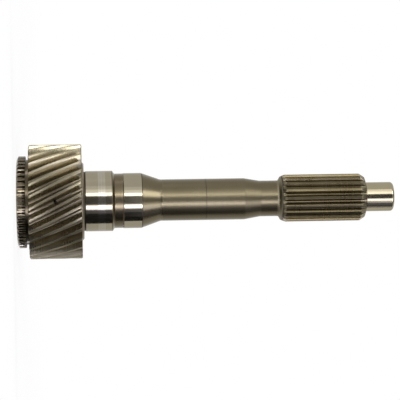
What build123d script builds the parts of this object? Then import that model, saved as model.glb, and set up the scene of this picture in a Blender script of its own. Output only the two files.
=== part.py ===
"""Transmission input shaft, millimetres.

One forging, turned, hobbed and ground in one piece. It stands on the end face of its clutch-tooth ring:
the origin is the centre of that face, and +Z runs along the shaft to the pilot nose. The small oil hole
between two gear teeth opens towards -Y.
"""
from build123d import *
from math import acos, atan, cos, degrees, pi, radians, sin, tan
import os

os.makedirs("parts", exist_ok=True)

# Clutch-tooth ring, which the sliding sleeve of the gearbox engages
ring_diameter = 53.0
ring_width = 5.05
ring_lead_in_length = 1.1
ring_lead_in_height = 2.3
dog_teeth = 48
dog_addendum = 0.75
dog_dedendum = 0.85
dog_pressure_angle = 15.0
dog_turn = -1.2

# Run-out groove between the ring and the gear, a little below the roots of the clutch teeth
neck_width = 1.8
neck_clearance = 0.3

# Left-hand helical input gear
gear_tip_diameter = 66.0
gear_face_width = 30.35
gear_teeth = 30
gear_addendum = 1.95
gear_dedendum = 2.35
gear_pressure_angle = 20.0
gear_helix_angle = 26.0
gear_backlash = 0.06
gear_rim_chamfer = 0.45

# Collar that the bearing is pushed against, and the narrow undercut after it
collar_diameter = 45.0
collar_width = 1.1
collar_chamfer = 0.8
undercut_width = 1.0
undercut_depth = 0.35

# Ground seat of the gearbox bearing
bearing_seat_diameter = 35.0
bearing_seat_length = 15.4
bearing_seat_lead_in = 1.2

# Turned relief band, the ground journal that the oil seal runs on, and the groove where grinding ends
seal_journal_diameter = 32.0
seal_journal_length = 10.4
relief_length = 5.2
relief_depth = 0.2
relief_edge = 0.3
seal_groove_width = 0.45
seal_groove_depth = 0.25

# Turned shank with its two tapers
first_taper_length = 10.55
shank_diameter = 24.0
shank_length = 48.7
second_taper_length = 9.2
thin_shank_diameter = 20.8
thin_shank_length = 10.8
taper_blend_radius = 6.0

# Clutch spline
spline_diameter = 27.5
spline_length = 51.6
spline_teeth = 18
spline_addendum = 0.7
spline_dedendum = 1.35
spline_pressure_angle = 30.0
spline_turn = -0.8
spline_foot_length = 1.3
spline_foot_height = 0.9
spline_back_bevel_length = 2.6
spline_run_out_start = 1.9
spline_run_out_length = 2.4
spline_run_out_height = 1.3
spline_front_bevel_length = 2.9
spline_front_bevel_height = 1.9
spline_front_face_length = 1.1

# Pilot nose
nose_diameter = 17.0
nose_length = 16.0
nose_edge_radius = 1.7

# Pocket for the roller bearing of the main shaft, in the gear end
pocket_diameter = 22.0
pocket_past_oil_hole = 5.0
pocket_chamfer = 1.2
pocket_drill_diameter = 14.0
pocket_drill_length = 8.0
pocket_drill_point_angle = 118.0

# Oil hole from a tooth space of the gear into the pocket
oil_hole_diameter = 1.5
oil_side = -90.0

# Lathe centre in the end of the nose
centre_drill_diameter = 2.5
centre_drill_depth = 6.5
centre_cone_diameter = 5.3
centre_cone_angle = 60.0

# Radii that follow from the sizes above
ring_radius = ring_diameter / 2
dog_pitch_radius = ring_radius - dog_addendum
dog_root_radius = dog_pitch_radius - dog_dedendum
neck_radius = dog_root_radius - neck_clearance
gear_tip_radius = gear_tip_diameter / 2
gear_pitch_radius = gear_tip_radius - gear_addendum
gear_root_radius = gear_pitch_radius - gear_dedendum
collar_radius = collar_diameter / 2
seat_radius = bearing_seat_diameter / 2
journal_radius = seal_journal_diameter / 2
shank_radius = shank_diameter / 2
thin_radius = thin_shank_diameter / 2
spline_radius = spline_diameter / 2
spline_pitch_radius = spline_radius - spline_addendum
spline_root_radius = spline_pitch_radius - spline_dedendum
nose_radius = nose_diameter / 2
pocket_radius = pocket_diameter / 2
pocket_drill_radius = pocket_drill_diameter / 2

# Heights of the shoulders, each from the one before
gear_start = ring_width + neck_width
gear_end = gear_start + gear_face_width
gear_middle = gear_start + gear_face_width / 2
collar_end = gear_end + collar_width
seat_start = collar_end + undercut_width
seat_end = seat_start + bearing_seat_length + bearing_seat_lead_in
relief_end = seat_end + relief_length
journal_end = relief_end + seal_journal_length
taper_start = journal_end + seal_groove_width
shank_start = taper_start + first_taper_length
shank_end = shank_start + shank_length
thin_shank_start = shank_end + second_taper_length
spline_start = thin_shank_start + thin_shank_length
spline_foot_end = spline_start + spline_foot_length
spline_end = spline_start + spline_length
spline_cut_start = spline_start + spline_run_out_start
spline_front_start = spline_end - spline_front_face_length - spline_front_bevel_length
shaft_end = spline_end + nose_length
pocket_end = gear_middle + pocket_past_oil_hole
pocket_drill_end = pocket_end + pocket_drill_length
pocket_point_end = pocket_drill_end + pocket_drill_radius / tan(radians(pocket_drill_point_angle / 2))

# The helix of the gear: its lead, and the direction of a tooth space where the cutter enters
full_turn = 360.0
gear_overrun = neck_width / 2
gear_cut_start = gear_start - gear_overrun
gear_cut_length = gear_face_width + 2 * gear_overrun
gear_cut_steps = 4
gear_lead = 2 * pi * gear_pitch_radius / tan(radians(gear_helix_angle))
gear_cut_direction = oil_side + full_turn * (gear_middle - gear_cut_start) / gear_lead
gear_transverse_angle = atan(tan(radians(gear_pressure_angle)) / cos(radians(gear_helix_angle)))


def involute(angle):
    """Involute function of a pressure angle in radians."""
    return tan(angle) - angle


def tooth_space(teeth, pitch_radius, root_radius, tip_radius, pressure_angle, direction, backlash=0.0):
    """Draw one tooth space: a flat root, two flanks and a lid clear of the tooth tips.

    Each flank runs through its involute's points on the root, pitch and lid radius. The pressure angle is
    in radians. The direction of the middle of the space is in degrees.
    """
    base_radius = pitch_radius * cos(pressure_angle)
    flank_radii = (root_radius, pitch_radius, 2 * tip_radius - pitch_radius)

    def half_space(radius):
        local_angle = acos(min(1.0, base_radius / radius))
        growth = involute(local_angle) - involute(pressure_angle)
        return degrees(pi / (2 * teeth) + backlash / (2 * pitch_radius) + growth)

    def at(radius, side):
        turn = radians(direction + side * half_space(radius))
        return (radius * cos(turn), radius * sin(turn))

    Polyline(
        *(at(radius, -1) for radius in reversed(flank_radii)),
        *(at(radius, 1) for radius in flank_radii),
        close=True,
    )


# The turned outside, with every diameter, taper and bevel of the forging
with BuildPart() as turned_blank:
    with BuildSketch(Plane.XZ):
        with BuildLine():
            Polyline(
                (0, 0),
                (ring_radius - ring_lead_in_height, 0),
                (ring_radius, ring_lead_in_length),
                (ring_radius, ring_width),
                (neck_radius, ring_width),
                (neck_radius, gear_start),
                (gear_tip_radius - gear_rim_chamfer, gear_start),
                (gear_tip_radius, gear_start + gear_rim_chamfer),
                (gear_tip_radius, gear_end - gear_rim_chamfer),
                (gear_tip_radius - gear_rim_chamfer, gear_end),
                (collar_radius, gear_end),
                (collar_radius, collar_end - collar_chamfer),
                (collar_radius - collar_chamfer, collar_end),
                (seat_radius - undercut_depth, collar_end),
                (seat_radius - undercut_depth, seat_start),
                (seat_radius, seat_start),
                (seat_radius, seat_end - bearing_seat_lead_in),
                (journal_radius - relief_depth, seat_end),
                (journal_radius - relief_depth, relief_end - relief_edge),
                (journal_radius, relief_end),
                (journal_radius, journal_end),
                (journal_radius - seal_groove_depth, journal_end),
                (journal_radius - seal_groove_depth, taper_start),
                (shank_radius, shank_start),
                (shank_radius, shank_end),
                (thin_radius, thin_shank_start),
                (thin_radius, spline_start),
                (spline_root_radius + spline_foot_height, spline_foot_end),
                (spline_radius, spline_foot_end + spline_back_bevel_length),
                (spline_radius, spline_front_start),
                (spline_radius - spline_front_bevel_height, spline_end - spline_front_face_length),
                (nose_radius, spline_end),
                (nose_radius, shaft_end),
                (0, shaft_end),
                close=True,
            )
        make_face()
        fillet(vertices().sort_by_distance((shank_radius, shank_start))[0], taper_blend_radius)
        fillet(vertices().sort_by_distance((nose_radius, shaft_end))[0], nose_edge_radius)
    revolve(axis=Axis.Z)

# One tooth space of the gear, lofted through sections that turn with the left-hand helix
with BuildPart() as gear_space:
    for step in range(gear_cut_steps + 1):
        advance = gear_cut_length * step / gear_cut_steps
        with BuildSketch(Plane.XY.offset(gear_cut_start + advance)):
            with BuildLine():
                tooth_space(
                    gear_teeth,
                    gear_pitch_radius,
                    gear_root_radius,
                    gear_tip_radius,
                    gear_transverse_angle,
                    gear_cut_direction - full_turn * advance / gear_lead,
                    gear_backlash,
                )
            make_face()
    loft()

# One straight space between two clutch teeth, from below the ring's face to the middle of the neck
with BuildPart() as dog_space:
    with BuildSketch(Plane.XY.offset(-neck_width / 2)):
        with BuildLine():
            tooth_space(
                dog_teeth,
                dog_pitch_radius,
                dog_root_radius,
                ring_radius,
                radians(dog_pressure_angle),
                oil_side - dog_turn + full_turn / dog_teeth / 2,
            )
        make_face()
    extrude(amount=ring_width + neck_width)

# One straight space between two spline teeth, whose root runs out to the surface at the shank's end
with BuildPart() as spline_space:
    with BuildSketch(Plane.XY.offset(spline_cut_start)):
        with BuildLine():
            tooth_space(
                spline_teeth,
                spline_pitch_radius,
                spline_root_radius,
                spline_radius,
                radians(spline_pressure_angle),
                oil_side - spline_turn + full_turn / spline_teeth / 2,
            )
        make_face()
    extrude(amount=spline_length - spline_run_out_start)
    with Locations((0, 0, spline_cut_start)):
        Cone(
            spline_root_radius + spline_run_out_height,
            spline_root_radius,
            spline_run_out_length,
            align=(Align.CENTER, Align.CENTER, Align.MIN),
            mode=Mode.SUBTRACT,
        )

# The bearing pocket, with the drill's point beyond it
with BuildPart() as pocket:
    with BuildSketch(Plane.XZ):
        with BuildLine():
            Polyline(
                (0, 0),
                (pocket_radius + pocket_chamfer, 0),
                (pocket_radius, pocket_chamfer),
                (pocket_radius, pocket_end),
                (pocket_drill_radius, pocket_end),
                (pocket_drill_radius, pocket_drill_end),
                (0, pocket_point_end),
                close=True,
            )
        make_face()
    revolve(axis=Axis.Z)

oil_hole_mouth = Plane(origin=(0, -gear_tip_radius, gear_middle), z_dir=(0, -1, 0))

with BuildPart() as input_shaft:
    add(turned_blank.part)
    with PolarLocations(0, gear_teeth):
        add(gear_space.part, mode=Mode.SUBTRACT)
    with PolarLocations(0, dog_teeth):
        add(dog_space.part, mode=Mode.SUBTRACT)
    with PolarLocations(0, spline_teeth):
        add(spline_space.part, mode=Mode.SUBTRACT)
    add(pocket.part, mode=Mode.SUBTRACT)
    with Locations(oil_hole_mouth):
        Hole(oil_hole_diameter / 2, depth=gear_tip_radius)
    with Locations((0, 0, shaft_end)):
        CounterSinkHole(
            centre_drill_diameter / 2,
            centre_cone_diameter / 2,
            depth=centre_drill_depth,
            counter_sink_angle=centre_cone_angle,
        )

input_shaft.part.label = "input_shaft"
export_step(input_shaft.part, "parts/input_shaft.step")
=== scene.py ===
"""Looks of the transmission input shaft: one detailed mesh that stands for the CAD solid, and a plain studio.

The frame is the CAD's: metres, the shaft stands on the end face of its clutch-tooth ring, +Z runs to the
pilot nose and the oil hole opens towards -Y. The photograph's right is +Z, its top is -X and its near side -Y.
"""

from math import acos, atan, cos, pi, radians, sin, tan

import bpy
from mathutils import Matrix, Vector


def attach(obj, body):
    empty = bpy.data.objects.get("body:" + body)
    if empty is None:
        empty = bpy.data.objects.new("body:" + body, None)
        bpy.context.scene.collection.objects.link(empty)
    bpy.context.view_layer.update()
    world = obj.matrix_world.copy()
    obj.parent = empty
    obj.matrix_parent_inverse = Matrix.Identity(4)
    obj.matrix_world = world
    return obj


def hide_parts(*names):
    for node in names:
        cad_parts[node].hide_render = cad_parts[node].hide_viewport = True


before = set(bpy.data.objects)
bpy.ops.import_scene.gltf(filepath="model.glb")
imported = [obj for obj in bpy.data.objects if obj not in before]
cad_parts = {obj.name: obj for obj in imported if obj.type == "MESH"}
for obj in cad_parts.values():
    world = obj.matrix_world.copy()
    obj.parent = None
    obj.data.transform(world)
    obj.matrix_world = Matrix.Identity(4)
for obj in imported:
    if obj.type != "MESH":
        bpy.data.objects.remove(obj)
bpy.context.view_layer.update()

MM = 0.001
full_turn = 2 * pi

# Radii of the shaft in millimetres, as in the CAD, from the gear end to the nose
bore = 11.0
drill_recess = 7.0
ring_tip = 26.5
ring_root = 24.9
dog_pitch = 25.75
neck = 24.6
gear_tip = 33.0
gear_pitch = 31.05
gear_root = 28.7
gear_rim = 32.4
collar = 22.5
undercut = 17.15
seat = 17.5
relief = 15.8
seal = 16.0
shank = 12.0
thin_shank = 10.4
spline_tip = 13.75
spline_pitch = 13.05
spline_root = 11.7
nose = 8.5
centre_drill = 1.25

# Heights above the ring's end face in millimetres
bore_end = 27.025
recess_end = 35.025
recess_point = 39.23
ring_end = 5.05
gear_start = 6.85
gear_middle = 22.025
gear_end = 37.2
collar_end = 38.3
seat_start = 39.3
seal_start = 61.1
taper_start = 72.0
taper_end = 82.5
second_taper_start = 131.2
second_taper_end = 140.4
spline_full = 155.8
spline_full_end = 198.5
nose_start = 202.8
shaft_end = 218.8
centre_point = 212.3

# Teeth: numbers, helix, and the directions of their first spaces round the shaft
dog_count = 48
gear_count = 30
spline_count = 18
gear_helix = radians(26.0)
gear_lead = 2 * pi * gear_pitch / tan(gear_helix)
gear_pressure = atan(tan(radians(20)) / cos(gear_helix))
oil_side = -pi / 2
dog_direction = oil_side + radians(1.2 + 180 / dog_count)
spline_direction = oil_side + radians(0.8 + 180 / spline_count)

# Fineness of the mesh: points round a turned stretch, and bands along the teeth
round_count = 216
gear_cells = 16
spline_cells = 12


# ---------------------------------------------------------------- outlines

# Points on one half of a tooth space: its floor with the fillet, and the broken edge of the tip
fillet_steps = 4
edge_steps = 3
root_points = 2 + fillet_steps
edge_points = edge_steps - 1

# Shortest arc in millimetres and smallest turn that keep neighbouring points apart
least_arc = 0.02
least_turn = 1e-5

# Shares of a tooth's height that its fillet and its broken edge take at most, and the share of a space's
# floor at which its one inner point lies
fillet_share = 0.45
edge_share = 0.2
floor_share = 0.55


def involute(angle):
    return tan(angle) - angle


class Teeth:
    """Outline of a ring of teeth, whose number of points is the same for any height of the tips.

    Lengths are in millimetres and angles in radians; slack is the play between mating teeth at the pitch.
    """

    def __init__(
        self, count, pitch, root, pressure, direction, slack, fillet, edge, flank_steps, land_steps, lead=0.0,
    ):
        self.count = count
        self.pitch = pitch
        self.root = root
        self.pressure = pressure
        self.direction = direction
        self.slack = slack
        self.fillet = fillet
        self.edge = edge
        self.flank_steps = flank_steps
        self.land_steps = land_steps
        self.lead = lead

    def half_space(self, radius):
        """Half the angle of a space between two teeth at one radius."""
        base = self.pitch * cos(self.pressure)
        lowest = self.root * 0.999
        local = acos(min(1.0, base / max(radius, lowest)))
        growth = involute(local) - involute(self.pressure)
        return pi / (2 * self.count) + self.slack / (2 * self.pitch) + growth

    def half_profile(self, tip, ease, floor):
        """Radius and angle from the middle of a space to the middle of a tooth."""
        root = min((floor or self.root) - ease, tip)
        rise = tip - root
        fillet = min(self.fillet, fillet_share * rise)
        edge = min(self.edge, edge_share * rise)
        flank_low = root + fillet
        flank_high = tip - edge
        widen = ease / self.pitch
        low_angle = self.half_space(flank_low) + widen
        floor_angle = low_angle - max(fillet, least_arc) / self.root
        profile = [(root, 0.0), (root, floor_angle * floor_share)]
        for step in range(fillet_steps):
            turn = pi / 2 * step / fillet_steps
            radius = root + fillet * (1 - cos(turn))
            profile.append((radius, floor_angle + (low_angle - floor_angle) * sin(turn)))
        for step in range(self.flank_steps + 1):
            radius = flank_low + (flank_high - flank_low) * step / self.flank_steps
            high_angle = self.half_space(radius) + widen + least_turn * step
            profile.append((radius, high_angle))
        land_angle = high_angle + max(edge, least_arc) / self.pitch
        for step in range(1, edge_steps):
            turn = pi / 2 * step / edge_steps
            radius = flank_high + edge * sin(turn)
            profile.append((radius, high_angle + (land_angle - high_angle) * (1 - cos(turn))))
        middle = pi / self.count
        for step in range(self.land_steps + 1):
            profile.append((tip, land_angle + (middle - land_angle) * step / self.land_steps))
        return profile

    def part_of(self, index):
        """Whether the strip from one point to the next is on a root, a flank or a land."""
        land_start = root_points + self.flank_steps + edge_points
        half_count = land_start + self.land_steps + 2
        place = index % (2 * half_count - 2)
        far_side = place > half_count - 2
        place = min(place, 2 * half_count - 3 - place)
        if place < root_points:
            return "_root"
        if place < land_start:
            return "_drive" if far_side and self.lead else "_flank"
        return "_land"

    def loop(self, tip, height, ease, flat, floor=None):
        """Points of the whole outline at one height.

        With ease, the tooth is that much thinner and its root that much deeper. With flat, all points lie
        on a circle of that radius. With floor, the root of the spaces has that radius instead of its own.
        """
        half = self.half_profile(tip, ease, floor)
        twist = self.direction
        if self.lead:
            twist -= full_turn * (height - gear_middle) / self.lead
        pitch_angle = full_turn / self.count
        points = []
        for tooth in range(self.count):
            start = twist + tooth * pitch_angle
            for radius, angle in half:
                points.append((flat or radius, start + angle, height))
            for radius, angle in half[-2:0:-1]:
                points.append((flat or radius, start + pitch_angle - angle, height))
        return points


dog_teeth = Teeth(
    count=dog_count, pitch=dog_pitch, root=ring_root, pressure=radians(15), direction=dog_direction,
    slack=0.0, fillet=0.22, edge=0.1, flank_steps=2, land_steps=2,
)
gear_teeth = Teeth(
    count=gear_count, pitch=gear_pitch, root=gear_root, pressure=gear_pressure, direction=oil_side,
    slack=0.06, fillet=0.6, edge=0.13, flank_steps=5, land_steps=2, lead=gear_lead,
)
spline_teeth = Teeth(
    count=spline_count, pitch=spline_pitch, root=spline_root, pressure=radians(30), direction=spline_direction,
    slack=0.0, fillet=0.25, edge=0.12, flank_steps=3, land_steps=2,
)


# ---------------------------------------------------------------- the mesh

vertices = []
faces = []
regions = []

# Regions of teeth that take one finish on the roots, one on the flanks and one on the lands
split_regions = ("dog", "gear", "spline")

# Share of the line on either side of a corner that its arc takes at most
corner_share = 0.45


def add_loop(points):
    """Store a closed loop of (radius, angle, height) and return its indices and angles."""
    first = len(vertices)
    for radius, angle, height in points:
        vertices.append((radius * cos(angle) * MM, radius * sin(angle) * MM, height * MM))
    return (list(range(first, len(vertices))), [point[1] for point in points])


def circle(radius, height):
    return [(radius, full_turn * step / round_count, height) for step in range(round_count)]


def bridge(lower, upper, region):
    """Close the band between two loops, also where their numbers of points differ."""
    low, low_angles = lower
    up, up_angles = upper
    low_count = len(low)
    up_count = len(up)
    if low_count == up_count:
        for i in range(low_count):
            j = (i + 1) % low_count
            faces.append((low[i], low[j], up[j], up[i]))
            regions.append(region)
        return
    base = low_angles[0]
    offset = min(range(up_count), key=lambda k: abs((up_angles[k] - base + pi) % full_turn - pi))
    low_turn = [(angle - base) % full_turn for angle in low_angles] + [full_turn]
    low_turn[0] = 0.0
    up_turn = []
    for k in range(up_count):
        turn = up_angles[(offset + k) % up_count] - base
        turn = (turn + pi) % full_turn - pi if k == 0 else turn % full_turn
        up_turn.append(turn)
    up_turn.append(full_turn + up_turn[0])
    i = 0
    k = 0
    while i < low_count or k < up_count:
        here = low[i % low_count]
        there = up[(offset + k) % up_count]
        if k >= up_count or (i < low_count and low_turn[i + 1] <= up_turn[k + 1]):
            faces.append((here, low[(i + 1) % low_count], there))
            i += 1
        else:
            faces.append((here, up[(offset + k + 1) % up_count], there))
            k += 1
        regions.append(region)


def rounded(profile, steps):
    """Replace each corner of a (radius, height, edge) line by a small arc."""
    line = []
    for index, (radius, height, edge) in enumerate(profile):
        if edge <= 0 or index in (0, len(profile) - 1):
            line.append((radius, height))
            continue
        corner = Vector((radius, height))
        before = Vector(profile[index - 1][:2]) - corner
        after = Vector(profile[index + 1][:2]) - corner
        half = before.angle(after) / 2
        back = min(edge / tan(half), before.length * corner_share, after.length * corner_share)
        size = back * tan(half)
        middle = (before.normalized() + after.normalized()).normalized() * (size / sin(half))
        start = before.normalized() * back - middle
        end = after.normalized() * back - middle
        for step in range(steps + 1):
            arm = start.slerp(end, step / steps)
            point = corner + middle + arm.normalized() * size
            line.append((point.x, point.y))
    return line


def turned(profile, region, previous=None, steps=3):
    """Add the loops of a turned (radius, height, edge) stretch and join them to what came before."""
    for radius, height in rounded(profile, steps):
        loop = add_loop(circle(radius, height))
        if previous is not None:
            bridge(previous, loop, region)
        previous = loop
    return previous


def toothed(teeth, stations, previous):
    """Add loops of teeth: each station is (tip, height, ease, flat, region) and may end with a root radius."""
    for tip, height, ease, flat, region, *floor in stations:
        loop = add_loop(teeth.loop(tip, height, ease, flat, *floor))
        first = len(regions)
        bridge(previous, loop, region)
        if region in split_regions and len(loop[0]) == len(previous[0]):
            for index in range(first, len(regions)):
                regions[index] = region + teeth.part_of(index - first)
        previous = loop
    return previous


def cap(ring, height, closing, region):
    """Close the mesh with a fan to one point on the axis, at its first loop or, with closing, at its last."""
    centre = len(vertices)
    vertices.append((0.0, 0.0, height * MM))
    for i in range(len(ring)):
        j = (i + 1) % len(ring)
        faces.append((ring[i], ring[j], centre) if closing else (centre, ring[j], ring[i]))
        regions.append(region)


# Bore in the gear end, from the drill point out to the face
last = turned(
    [(0.9, 38.69, 0), (drill_recess, recess_end, 0.2), (drill_recess, bore_end, 0.2), (bore, bore_end, 0.15)],
    "face",
)
cap(range(round_count), recess_point, False, "face")
last = turned([(bore, 26.8, 0), (bore, 1.3, 0)], "ground", last)
last = turned([(bore, 1.2, 0), (12.2, 0.0, 0), (12.6, 0.0, 0), (23.9, 0.0, 0)], "face", last)

# Clutch-tooth ring, with the bevel that leads the sleeve in and a broken edge at its far end
ring_stations = [
    (24.2, 0.0, 0, 24.1, "face"),
    (24.28, 0.03, 0, None, "dog"),
    (ring_root, 0.335, 0, None, "dog"),
    (25.3, 0.526, 0, None, "dog"),
    (25.9, 0.813, 0, None, "dog"),
    (26.38, 1.045, 0, None, "dog"),
    (26.48, 1.13, 0, None, "dog"),
    (ring_tip, 1.25, 0, None, "dog"),
    (ring_tip, 3.0, 0, None, "dog"),
    (ring_tip, ring_end - 0.14, 0, None, "dog"),
    (ring_tip - 0.04, ring_end - 0.04, 0.04, None, "dog"),
    (ring_tip - 0.14, ring_end, 0.12, None, "dog"),
    # The ring's back face takes the dark neck steel: painted shade.
    (ring_root, ring_end, 0, 24.74, "neck"),
]
last = toothed(dog_teeth, ring_stations, last)

# Neck between the ring and the gear, and the gear's first face; their dark neck steel is painted shade for
# that narrow recess
last = turned(
    [(24.7, ring_end, 0), (neck, ring_end, 0.1), (neck, gear_start, 0.2), (25.2, gear_start, 0),
     (27.9, gear_start, 0)],
    "neck", last,
)

# Gear, with a turned bevel on its rims and all its end edges broken
gear_floor = 28.1
gear_bevel_tip = gear_tip - 0.03
gear_bevel = 0.45
gear_plain = 0.55
gear_broken = 0.16
gear_broken_tip = 32.6
gear_stations = [
    (gear_rim, gear_start, 0, gear_floor, "gear_face"),
    (gear_rim, gear_start, gear_broken, None, "gear_face"),
    (gear_broken_tip, gear_start + gear_broken, 0, None, "gear_edge"),
    (gear_bevel_tip, gear_start + gear_bevel, 0, None, "gear_edge"),
]
for cell in range(gear_cells + 1):
    cell_height = gear_start + gear_plain + (gear_end - gear_start - 2 * gear_plain) * cell / gear_cells
    gear_stations.append((gear_tip, cell_height, 0, None, "gear"))
gear_stations += [
    (gear_bevel_tip, gear_end - gear_bevel, 0, None, "gear_edge"),
    (gear_broken_tip, gear_end - gear_broken, 0, None, "gear_edge"),
    (gear_rim, gear_end, gear_broken, None, "gear_edge"),
    (gear_rim, gear_end, 0, gear_floor, "gear_face"),
]
last = toothed(gear_teeth, gear_stations, last)

# Collar, and the undercut where grinding starts
last = turned(
    [(27.9, gear_end, 0), (24.0, gear_end, 0), (collar, gear_end, 0.1), (collar, 37.5, 0.15),
     (21.7, collar_end, 0.1), (18.3, collar_end, 0)],
    "gear_face", last,
)
# The undercut takes the dark recess steel: painted shade.
last = turned(
    [(18.0, collar_end, 0), (undercut, collar_end, 0.15), (undercut, seat_start, 0.1), (17.45, 39.32, 0)],
    "groove", last,
)

# Bearing seat, polished by the bearing over its middle
last = turned([(seat, 39.37, 0), (seat, 39.6, 0), (seat, 40.0, 0)], "ground", last)
last = turned([(seat, 40.3, 0), (seat, 46.4, 0)], "ground", last)
last = turned([(seat, 46.5, 0), (seat, 50.6, 0)], "worn", last)
last = turned([(seat, 50.7, 0), (seat, 54.2, 0)], "ground", last)

# Relief band, seal journal and the groove after it
last = turned([(seat, 54.3, 0), (seat, 54.7, 0.4), (relief, 55.9, 0.1), (relief, 56.2, 0)], "relief", last)
last = turned(
    [(relief, 58.4, 0), (relief, 60.6, 0), (relief, 60.8, 0.05), (seal, seal_start, 0.05), (seal, 61.3, 0)],
    "relief", last,
)
last = turned(
    [(seal, 61.6, 0), (seal, 66.0, 0), (seal, 71.3, 0), (seal, 71.5, 0.06), (15.98, 71.52, 0)],
    "ground", last,
)
# The groove after the seal journal takes the dark recess steel: painted shade.
last = turned([(15.6, 71.53, 0), (15.6, 71.93, 0), (15.76, 71.95, 0)], "groove", last)

# First taper, blended into the shank; the straight band that ends the line already has the shank's finish
last = turned(
    [(15.73, taper_start, 0), (15.377, 73.0, 0), (shank, taper_end, 6.0), (shank, 90.0, 0)],
    "taper", last, 8,
)
regions[-round_count:] = ["shank"] * round_count

# Shank with its scribed line, and the second taper
for ring_height in (96.0, 102.0, 107.0):
    last = turned([(shank, ring_height, 0)], "shank", last)
last = turned([(shank, 108.5, 0), (shank, 108.6, 0)], "shank", last)
# The scribed line takes the dark recess steel: painted shade.
last = turned([(shank - 0.07, 108.65, 0), (shank - 0.07, 108.83, 0)], "groove", last)
last = turned(
    [(shank, 108.88, 0), (shank, 108.98, 0), (shank, 116.0, 0), (shank, second_taper_start, 6.0),
     (thin_shank, second_taper_end, 6.0), (thin_shank, 150.0, 0)],
    "shank", last, 8,
)

# Foot of the spline
last = turned(
    [(thin_shank, 150.2, 0), (thin_shank, 151.2, 0.8), (12.6, 152.5, 0.5), (12.79, 152.92, 0)],
    "foot", last, 6,
)
# The small groove at the foot takes the dark recess steel: painted shade.
last = turned([(12.62, 152.97, 0), (12.62, 153.12, 0)], "groove", last)

# Clutch spline, whose spaces run out towards the shank
spline_stations = [
    # Two thin bands at the start of the run-out take the dark recess steel: painted shade lines.
    (12.87, 153.16, 0, None, "groove", 12.87),
    (12.93, 153.25, 0, None, "spline_end", 12.84),
    (13.06, 153.55, 0, None, "groove", 12.71),
    (13.19, 153.85, 0, None, "spline_end", 12.58),
    (13.48, 154.5, 0, None, "spline_end", 12.24),
    (13.68, 154.95, 0, None, "spline_end", 11.99),
    (13.735, 155.2, 0, None, "spline_end", 11.86),
    (spline_tip, 155.5, 0, None, "spline", 11.72),
]
for cell in range(spline_cells + 1):
    cell_height = spline_full + (spline_full_end - spline_full) * cell / spline_cells
    spline_stations.append((spline_tip, cell_height, 0, None, "spline"))
spline_stations += [
    (13.68, 198.85, 0, None, "spline_end"),
    (12.9, 200.1, 0, None, "spline_end"),
    (11.95, 201.54, 0, None, "spline_end"),
    (11.82, 201.68, 0, None, "spline_end"),
    (spline_root, 201.75, 0, None, "spline_end"),
    (11.4, 201.85, 0, None, "spline_end"),
]
last = toothed(spline_teeth, spline_stations, last)

# Pilot nose and its lathe centre
last = turned([(11.3, 201.88, 0), (8.7, 202.73, 0)], "spline_end", last)
# The corner where the nose starts takes the dark recess steel: painted shade.
last = turned([(nose, nose_start, 0)], "groove", last)
last = turned(
    [(nose, 203.0, 0), (nose, 210.0, 0), (nose, shaft_end, 1.7), (4.0, shaft_end, 0)],
    "nose", last, 9,
)
last = turned(
    [(2.75, shaft_end, 0), (2.65, 218.76, 0), (centre_drill, 216.375, 0), (centre_drill, 212.6, 0)],
    "face", last,
)
cap(last[0], centre_point, True, "face")


# ---------------------------------------------------------------- materials

def linear(red, green, blue):
    """Linear colour of an sRGB one given in 0 to 255."""
    values = []
    for channel in (red, green, blue):
        share = channel / 255
        values.append(share / 12.92 if share <= 0.04045 else ((share + 0.055) / 1.055) ** 2.4)
    return (*values, 1.0)


def material(name):
    made = bpy.data.materials.new(name)
    made.use_nodes = True
    tree = made.node_tree
    tree.nodes.clear()
    return made, tree


def node(tree, kind, **values):
    made = tree.nodes.new(kind)
    for key, value in values.items():
        setattr(made, key, value)
    return made


def math_node(tree, operation, first, second):
    """A sum, product or the like, where each of the two values is a number or another node's output."""
    made = node(tree, "ShaderNodeMath", operation=operation)
    for socket, value in zip(made.inputs, (first, second)):
        if isinstance(value, bpy.types.NodeSocket):
            tree.links.new(value, socket)
        else:
            socket.default_value = value
    return made.outputs[0]


# Shares of the tool's rings and of the blotches in the colour, and the span over which dark turns to light
ring_share = 0.45
blotch_share = 0.55
dark_until = 0.32
light_from = 0.68
grain_scale = 2600.0


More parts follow.
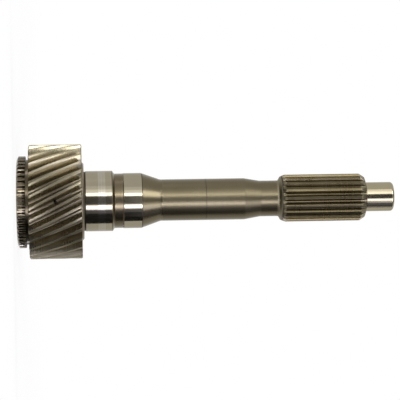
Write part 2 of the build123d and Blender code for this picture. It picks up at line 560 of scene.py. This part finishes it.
def steel(name, light, dark, rough, rough_spread, ring_scale, ring_depth, blotch_scale, metal, rim, grain):
    """Bare steel: rings of the tool along Z, blotches of colour and gloss, and a fine grain."""
    made, tree = material(name)
    links = tree.links
    out = node(tree, "ShaderNodeOutputMaterial")
    shader = node(tree, "ShaderNodeBsdfPrincipled")
    shader.inputs["Metallic"].default_value = metal
    shader.inputs["Specular Tint"].default_value = (rim, rim * 0.99, rim * 0.96, 1.0)
    links.new(shader.outputs[0], out.inputs[0])
    place = node(tree, "ShaderNodeTexCoord").outputs["Object"]
    split = node(tree, "ShaderNodeSeparateXYZ")
    links.new(place, split.inputs[0])
    rings = node(tree, "ShaderNodeTexNoise", noise_dimensions="1D")
    rings.inputs["Detail"].default_value = 4.0
    rings.inputs["Roughness"].default_value = 0.7
    rings.inputs["Scale"].default_value = 1.0
    links.new(math_node(tree, "MULTIPLY", split.outputs[2], ring_scale), rings.inputs["W"])
    blotch = node(tree, "ShaderNodeTexNoise")
    blotch.inputs["Scale"].default_value = blotch_scale
    blotch.inputs["Detail"].default_value = 5.0
    links.new(place, blotch.inputs["Vector"])
    height = rings.outputs[0]
    ring_part = math_node(tree, "MULTIPLY", height, ring_share)
    blotch_part = math_node(tree, "MULTIPLY", blotch.outputs[0], blotch_share)
    mix = math_node(tree, "ADD", ring_part, blotch_part)
    ramp = node(tree, "ShaderNodeValToRGB")
    ramp.color_ramp.elements[0].position = dark_until
    ramp.color_ramp.elements[1].position = light_from
    ramp.color_ramp.elements[0].color = linear(*dark)
    ramp.color_ramp.elements[1].color = linear(*light)
    links.new(mix, ramp.inputs[0])
    links.new(ramp.outputs[0], shader.inputs["Base Color"])
    spread = math_node(tree, "MULTIPLY", math_node(tree, "SUBTRACT", mix, 0.5), rough_spread)
    links.new(math_node(tree, "ADD", spread, rough), shader.inputs["Roughness"])
    if grain:
        fine = node(tree, "ShaderNodeTexNoise")
        fine.inputs["Scale"].default_value = grain_scale
        fine.inputs["Detail"].default_value = 2.0
        links.new(place, fine.inputs["Vector"])
        height = math_node(tree, "ADD", height, math_node(tree, "MULTIPLY", fine.outputs[0], grain))
    bump = node(tree, "ShaderNodeBump")
    bump.inputs["Strength"].default_value = 1.0
    bump.inputs["Distance"].default_value = ring_depth
    links.new(height, bump.inputs["Height"])
    links.new(bump.outputs[0], shader.inputs["Normal"])
    return made


# Each finish: light colour, dark colour, roughness, its spread, scale and depth in metres of the tool's rings,
# scale of the blotches, metal, brightness of the rim at grazing angles, and grain
finishes = {
    "ground": ((150, 143, 124), (142, 134, 114), 0.11, 0.05, 4000, 2e-7, 60, 1.0, 0.75, 0.0),
    "worn": ((165, 159, 146), (148, 141, 123), 0.13, 0.07, 1500, 4e-7, 60, 1.0, 0.75, 0.0),
    "nose": ((160, 151, 127), (150, 141, 117), 0.12, 0.06, 4000, 2e-7, 60, 1.0, 0.75, 0.0),
    # Dark steel of the undercuts, grooves, scribed line, run-out lines of the spline, corner before the nose
    # and oil hole: painted shade in these recesses.
    "groove": ((70, 65, 54), (46, 42, 34), 0.4, 0.1, 4000, 2e-7, 60, 1.0, 0.75, 0.0),
    "relief": ((105, 95, 76), (89, 80, 61), 0.25, 0.1, 3000, 5e-7, 90, 1.0, 1.0, 0.0),
    "taper": ((104, 96, 76), (92, 84, 64), 0.25, 0.08, 3200, 4e-7, 45, 1.0, 1.0, 0.0),
    "shank": ((101, 93, 73), (90, 82, 62), 0.31, 0.1, 2600, 8e-7, 45, 1.0, 1.0, 0.0),
    "foot": ((122, 114, 92), (106, 98, 76), 0.48, 0.1, 2600, 4e-7, 60, 1.0, 1.0, 0.0),
    # Painted shade: the floors of the gear's tooth spaces are darker than its flanks and lands.
    "gear_root": ((140, 131, 112), (118, 109, 90), 0.3, 0.1, 2500, 2e-7, 120, 1.0, 0.8, 0.0),
    # The flank steel comes in two copies for the two sides of the gear's teeth, the drive side a little darker
    # and yellower with a brighter rim: painted light and shade for how each side faces the lamps.
    "gear_flank": ((176, 167, 146), (156, 147, 126), 0.28, 0.1, 2500, 1e-7, 120, 1.0, 0.7, 0.0),
    "gear_drive": ((170, 161, 135), (150, 141, 115), 0.28, 0.1, 2500, 1e-7, 120, 1.0, 1.0, 0.0),
    "gear_land": ((170, 161, 137), (150, 141, 117), 0.3, 0.12, 2500, 2e-7, 120, 1.0, 0.5, 0.0),
    "gear_edge": ((132, 123, 102), (112, 103, 82), 0.36, 0.1, 2500, 2e-7, 120, 1.0, 1.0, 0.0),
    "gear_face": ((126, 117, 96), (104, 95, 74), 0.34, 0.14, 1500, 4e-7, 90, 0.8, 1.0, 0.2),
    "dog_root": ((112, 103, 86), (90, 81, 64), 0.2, 0.1, 2500, 1e-7, 160, 1.0, 1.0, 0.0),
    "dog_flank": ((104, 96, 80), (80, 73, 59), 0.36, 0.1, 2500, 2e-7, 160, 1.0, 1.0, 0.0),
    "dog_land": ((101, 94, 77), (87, 80, 63), 0.12, 0.02, 2500, 3e-8, 160, 1.0, 1.0, 0.0),
    # Painted shade: the neck, the ring's back face and the gear's first face are much darker than the other
    # steel, for the shade in that narrow recess.
    "neck": ((81, 74, 58), (69, 62, 47), 0.22, 0.1, 3000, 3e-7, 90, 1.0, 0.75, 0.0),
    "face": ((130, 124, 108), (104, 98, 84), 0.3, 0.12, 1500, 6e-7, 90, 1.0, 1.0, 0.3),
    # Painted shade: the floors of the spline's spaces are darker than its flanks and lands.
    "spline_root": ((80, 72, 52), (62, 54, 36), 0.34, 0.1, 900, 1e-7, 110, 1.0, 1.0, 0.0),
    "spline_flank": ((110, 100, 75), (92, 82, 58), 0.28, 0.1, 900, 1e-7, 110, 1.0, 0.5, 0.0),
    "spline_land": ((96, 88, 67), (80, 72, 52), 0.28, 0.06, 900, 5e-8, 110, 1.0, 0.35, 0.0),
    "spline_end": ((116, 109, 88), (96, 89, 69), 0.32, 0.12, 900, 2e-7, 110, 1.0, 1.0, 0.0),
}
slots = list(finishes)
steels = [steel(key + "_steel", *finish) for key, finish in finishes.items()]


# ---------------------------------------------------------------- the shaft

def shape(name, points, polygons, steel_indices):
    """An object made of points and polygons, with all steels in its material slots."""
    mesh = bpy.data.meshes.new(name)
    mesh.from_pydata(points, [], polygons)
    for one in steels:
        mesh.materials.append(one)
    mesh.polygons.foreach_set("material_index", steel_indices)
    made = bpy.data.objects.new(name, mesh)
    bpy.context.scene.collection.objects.link(made)
    return made, mesh


# Edges sharper than this stay sharp, all others are shaded smoothly
sharp_angle = radians(32)

shaft, shaft_mesh = shape("input_shaft_looks", vertices, faces, [slots.index(region) for region in regions])
shaft_mesh.polygons.foreach_set("use_smooth", [True] * len(faces))
shaft_mesh.validate()
shaft_mesh.update()
shaft_mesh.set_sharp_from_angle(angle=sharp_angle)

# Oil hole down to the pocket, with a small countersink in the tooth space: radius and distance from the axis
hole_line = [(0.75, 8.0), (0.75, 28.45), (0.9, 28.65), (1.05, 30.0)]
hole_sides = 36
cutter_points = []
cutter_faces = []
for radius, depth in hole_line:
    for step in range(hole_sides):
        turn = full_turn * step / hole_sides
        cutter_points.append((radius * cos(turn) * MM, -depth * MM, (gear_middle + radius * sin(turn)) * MM))
for row in range(len(hole_line) - 1):
    for step in range(hole_sides):
        after = (step + 1) % hole_sides
        cutter_faces.append((
            row * hole_sides + step,
            row * hole_sides + after,
            (row + 1) * hole_sides + after,
            (row + 1) * hole_sides + step,
        ))
cutter_faces.append(tuple(range(hole_sides))[::-1])
cutter_faces.append(tuple(range(len(cutter_points) - hole_sides, len(cutter_points))))
# The oil hole's walls take the dark recess steel: painted shade inside the hole.
hole_steel = [slots.index("groove")] * len(cutter_faces)
cutter, cutter_mesh = shape("oil_hole_cutter", cutter_points, cutter_faces, hole_steel)
cutter_mesh.update()

cut = shaft.modifiers.new("oil_hole", "BOOLEAN")
cut.operation = "DIFFERENCE"
cut.solver = "EXACT"
cut.object = cutter
weigh = shaft.modifiers.new("flat_faces", "WEIGHTED_NORMAL")
weigh.mode = "FACE_AREA"
weigh.weight = 50
weigh.keep_sharp = True
bpy.context.view_layer.update()
drilled = bpy.data.meshes.new_from_object(shaft.evaluated_get(bpy.context.evaluated_depsgraph_get()))
shaft.modifiers.clear()
shaft.data = drilled
bpy.data.objects.remove(cutter)

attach(shaft, "root")
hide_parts("input_shaft")


# ---------------------------------------------------------------- the studio

upright = Vector((0, 0, 1))
floor_side = 8.0
floor_shade = 0.92
card_distance = 1.35
strip_distance = 1.3

# How the floor turns white: distances from the shaft, and the share of plain white that is seen there
floor_white = (("From Min", 0.1), ("From Max", 0.7), ("To Min", 0.9), ("To Max", 1.0))


def plain_material(name, shade):
    made, tree = material(name)
    out = node(tree, "ShaderNodeOutputMaterial")
    diffuse = node(tree, "ShaderNodeBsdfDiffuse")
    diffuse.inputs[0].default_value = (shade, shade, shade, 1.0)
    tree.links.new(diffuse.outputs[0], out.inputs[0])
    return made


def floor_material():
    """Pale floor that keeps the shaft's shadow and turns to plain white away from it."""
    made = plain_material("floor_pale", floor_shade)
    tree = made.node_tree
    out = tree.nodes["Material Output"]
    diffuse = out.inputs[0].links[0].from_node
    distance = node(tree, "ShaderNodeVectorMath", operation="LENGTH")
    tree.links.new(node(tree, "ShaderNodeTexCoord").outputs["Object"], distance.inputs[0])
    reach = node(tree, "ShaderNodeMapRange")
    for socket, value in floor_white:
        reach.inputs[socket].default_value = value
    tree.links.new(distance.outputs["Value"], reach.inputs["Value"])
    glow = node(tree, "ShaderNodeEmission")
    path = node(tree, "ShaderNodeLightPath")
    mix = node(tree, "ShaderNodeMixShader")
    tree.links.new(math_node(tree, "MULTIPLY", path.outputs["Is Camera Ray"], reach.outputs[0]), mix.inputs[0])
    tree.links.new(diffuse.outputs[0], mix.inputs[1])
    tree.links.new(glow.outputs[0], mix.inputs[2])
    tree.links.new(mix.outputs[0], out.inputs[0])
    return made


def panel(name, centre, across, along, width, length, surface):
    """A flat stage panel given by its centre and two directions."""
    half_width = Vector(across).normalized() * width / 2
    half_length = Vector(along).normalized() * length / 2
    middle = Vector(centre)
    corners = [
        middle - half_width - half_length,
        middle + half_width - half_length,
        middle + half_width + half_length,
        middle - half_width + half_length,
    ]
    plane = bpy.data.meshes.new(name)
    plane.from_pydata(corners, [], [(0, 1, 2, 3)])
    plane.materials.append(surface)
    made = bpy.data.objects.new(name, plane)
    bpy.context.scene.collection.objects.link(made)
    return made


floor = panel("floor", (0, 0, 0), (1, 0, 0), (0, 1, 0), floor_side, floor_side, floor_material())
floor.visible_glossy = False
floor.visible_shadow = False


def around(turn, distance, height):
    """A point round the shaft: turn is measured from the near side towards the photograph's top."""
    return Vector((-sin(turn) * distance, -cos(turn) * distance, height))


def chord(low, high, distance):
    """Width of a flat thing at a distance from the shaft that fills the turns between two, in degrees."""
    return 2 * distance * tan(radians((high - low) / 2))


def card(name, low, high, bottom, top, shade, distance=card_distance):
    """An upright card between two turns round the shaft and two heights, for the steel to reflect."""
    middle = radians((low + high) / 2)
    made = panel(
        name,
        around(middle, distance, (bottom + top) / 2),
        around(middle + pi / 2, 1, 0),
        upright,
        chord(low, high, distance),
        top - bottom,
        plain_material(name, shade),
    )
    made.visible_camera = False


def level_card(name, centre, width, length, shade):
    """A card parallel to the floor."""
    made = panel(name, centre, (1, 0, 0), (0, 1, 0), width, length, plain_material(name, shade))
    made.visible_camera = False


# Turns between which the cards on the near side stand, and heights at which the tall cards end
front_low = -13.5
front_high = 17.5
card_bottom = -0.4
card_top = 1.2
stage_top = 1.9

card("card_front", front_low, front_high, -0.02, 0.125, 0.11)
card("card_front_shank", front_low, front_high, 0.125, 0.36, 0.75)
card("card_front_far", front_low, front_high, 0.36, 0.5, 0.16)
card("card_front_taper", front_low, front_high, 0.5, 1.3, 0.32)
card("card_front_top", front_low, front_high, 1.3, stage_top, 0.4)
card("card_low", -63.0, -33.0, card_bottom, card_top, 0.03)
card("card_low_side", -95.0, -63.0, card_bottom, card_top, 0.03)
card("card_low_top", -95.0, -30.0, card_top, stage_top, 0.13)
card("card_far", -18.5, 25.5, 0.4, 0.62, 0.11, 1.25)
card("card_gear", -52.0, 52.0, 0.0075, 0.0375, 0.4, 0.08)
card("card_low_gear", -150.0, -93.0, -0.7, 0.03, 0.07)
level_card("card_under", (-0.5, -0.325, -0.5), 1.0, 1.05, 0.03)
level_card("card_under_far", (0.25, -0.325, -0.5), 0.5, 1.05, 0.45)
level_card("card_beyond", (0, 0, 1.7), 1.4, 1.0, 0.03)


def placement(side, up, back, place):
    """Placement of a lamp or a camera from its three axes and its place."""
    return Matrix((
        (side.x, up.x, back.x, place.x),
        (side.y, up.y, back.y, place.y),
        (side.z, up.z, back.z, place.z),
        (0, 0, 0, 1),
    ))


def soft_lamp(name, width, height, radiance, colour, where):
    """A rectangular lamp that shines equally from its whole face."""
    lamp = bpy.data.lights.new(name, "AREA")
    lamp.shape = "RECTANGLE"
    lamp.size = width
    lamp.size_y = height
    lamp.energy = radiance * pi * width * height
    lamp.color = colour
    made = bpy.data.objects.new(name, lamp)
    bpy.context.scene.collection.objects.link(made)
    made.matrix_world = where


def strip(name, low, high, bottom, top, radiance, colour):
    """A tall soft lamp parallel to the shaft, between two turns round it and two heights."""
    middle = radians((low + high) / 2)
    place = around(middle, strip_distance, (bottom + top) / 2)
    back = around(middle, 1, 0)
    where = placement(upright.cross(back), upright, back, place)
    soft_lamp(name, chord(low, high, strip_distance), top - bottom, radiance, colour, where)


warm = (0.91, 0.935, 1.0)
cool = (0.78, 0.79, 1.0)

# Heights between which the strips run: over the whole shaft, its gear end, the tapers' slopes, the shank, the
# spline and nose, and the clutch-tooth ring
strip_bottom = -0.4
core_top = 0.34
strip_top = 0.85
taper_top = 1.75
shank_low = 0.13
shank_high = 0.29
nose_low = 0.42
far_top = 0.7
ring_bottom = -0.12
ring_top = -0.028

strip("strip_up", 19.3, 31.0, strip_bottom, strip_top, 2.85, warm)
strip("strip_up_core", 22.5, 28.5, strip_bottom, core_top, 3.3, warm)
strip("strip_up_shank", 21.0, 29.5, shank_low, shank_high, 5.5, warm)
strip("strip_up_taper", 19.5, 49.0, strip_top, taper_top, 6.4, warm)
strip("strip_up_glow", 29.0, 44.0, strip_bottom, strip_top, 0.77, warm)
strip("strip_up_wide", 31.0, 58.0, strip_bottom, strip_top, 0.33, warm)
strip("strip_up_far", 31.0, 60.0, 0.38, far_top, 0.95, warm)
strip("strip_low", -32.5, -15.8, strip_bottom, strip_top, 3.6, cool)
strip("strip_low_core", -27.0, -20.0, strip_bottom, core_top, 5.2, cool)
strip("strip_low_shank", -30.0, -18.5, shank_low, shank_high, 8.0, cool)
strip("strip_low_shank_side", -72.0, -34.0, 0.12, 0.3, 0.2, cool)
strip("strip_low_taper", -47.0, -22.0, strip_top, taper_top, 5.2, cool)
strip("strip_low_taper_side", -84.0, -58.0, strip_top, taper_top, 0.35, cool)
strip("strip_low_glow", -48.0, -32.0, strip_bottom, strip_top, 0.2, cool)
strip("strip_low_far", -82.0, -36.0, 0.36, far_top, 0.22, cool)
strip("strip_low_far_side", -92.0, -82.0, 0.36, far_top, 0.5, cool)
strip("strip_low_nose", -41.0, -32.0, nose_low, far_top, 2.0, cool)
strip("strip_low_nose_side", -52.0, -41.0, nose_low, far_top, 0.9, cool)
strip("strip_ring", 82.0, 88.5, -0.3, -0.03, 14.0, cool)
strip("strip_ring_bottom", -141.0, -134.0, -0.3, -0.035, 14.0, cool)
strip("strip_ring_up", 20.0, 28.0, ring_bottom, ring_top, 7.0, cool)
strip("strip_ring_low", -27.0, -19.0, ring_bottom, ring_top, 7.0, cool)

# One lamp on the near side, high beyond the nose, that gives the gear's teeth their warm light
high_turn = radians(-21.0)
high_rise = radians(54.0)
high_distance = 1.6
high_back = around(high_turn, cos(high_rise), sin(high_rise))
high_side = upright.cross(around(high_turn, 1, 0))
high_where = placement(high_side, high_back.cross(high_side), high_back, high_back * high_distance)
soft_lamp("lamp_high", 0.42, 0.5, 2.0, (1.0, 0.965, 0.87), high_where)

# White background for the eye and in reflections, a little less for the light that it gives
world = bpy.data.worlds.new("studio")
bpy.context.scene.world = world
world.use_nodes = True
tree = world.node_tree
tree.nodes.clear()
path = node(tree, "ShaderNodeLightPath")
plain = node(tree, "ShaderNodeBackground")
plain.inputs[0].default_value = (1.0, 1.0, 1.0, 1.0)
plain.inputs[1].default_value = 0.8
white = node(tree, "ShaderNodeBackground")
white.inputs[0].default_value = (1.0, 1.0, 1.0, 1.0)
white.inputs[1].default_value = 1.0
blend = node(tree, "ShaderNodeMixShader")
seen = math_node(tree, "MAXIMUM", path.outputs["Is Camera Ray"], path.outputs["Is Glossy Ray"])
tree.links.new(math_node(tree, "MAXIMUM", seen, path.outputs["Is Transmission Ray"]), blend.inputs[0])
tree.links.new(plain.outputs[0], blend.inputs[1])
tree.links.new(white.outputs[0], blend.inputs[2])
tree.links.new(blend.outputs[0], node(tree, "ShaderNodeOutputWorld").inputs[0])
bpy.context.scene.view_settings.view_transform = "Standard"


# ---------------------------------------------------------------- the camera

# It looks across the shaft, turned a little along it and rolled a little, as in the photograph
yaw = radians(4.2)
roll = radians(0.92)
origin_right = -0.1054
origin_up = -0.001374
origin_ahead = 0.9815
along = Vector((0, -sin(yaw), cos(yaw)))
above = Vector((-1, 0, 0))
forward = Vector((0, cos(yaw), sin(yaw)))
right = cos(roll) * along - sin(roll) * above
up = sin(roll) * along + cos(roll) * above
camera_place = -(right * origin_right + up * origin_up + forward * origin_ahead)
lens = bpy.data.cameras.new("photo_camera")
lens.lens = 153.0
lens.sensor_width = 36.0
lens.clip_start = 0.01
camera = bpy.data.objects.new("photo_camera", lens)
bpy.context.scene.collection.objects.link(camera)
camera.matrix_world = placement(right, up, -forward, camera_place)
bpy.context.scene.camera = camera
